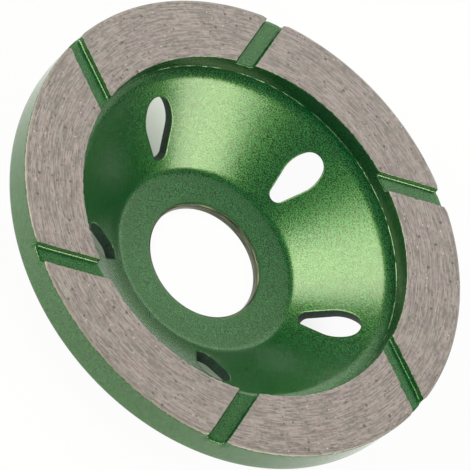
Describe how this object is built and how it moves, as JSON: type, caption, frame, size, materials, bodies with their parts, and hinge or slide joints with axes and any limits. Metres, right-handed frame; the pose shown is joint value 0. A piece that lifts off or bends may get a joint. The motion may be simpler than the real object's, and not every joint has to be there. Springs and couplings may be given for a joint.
{
  "type": "segmented diamond cup grinding wheel",
  "caption": "Green painted steel cup wheel whose sintered diamond ring, parted by shallow skewed slots, grinds stone and concrete on an angle grinder.",
  "frame": {"origin": "centre of the bore at the back of the hub, which rests on the surface", "axes": "+Z along the bore axis towards the working face; +Y through the middle of one vent"},
  "size_m": [0.09, 0.09, 0.0176],
  "materials": {
    "green_paint": "gloss",
    "diamond_matrix": "satin"
  },
  "bodies": {
    "root": {"steel_cup": "green_paint", "diamond_ring": "diamond_matrix"}
  },
  "joints": []
}
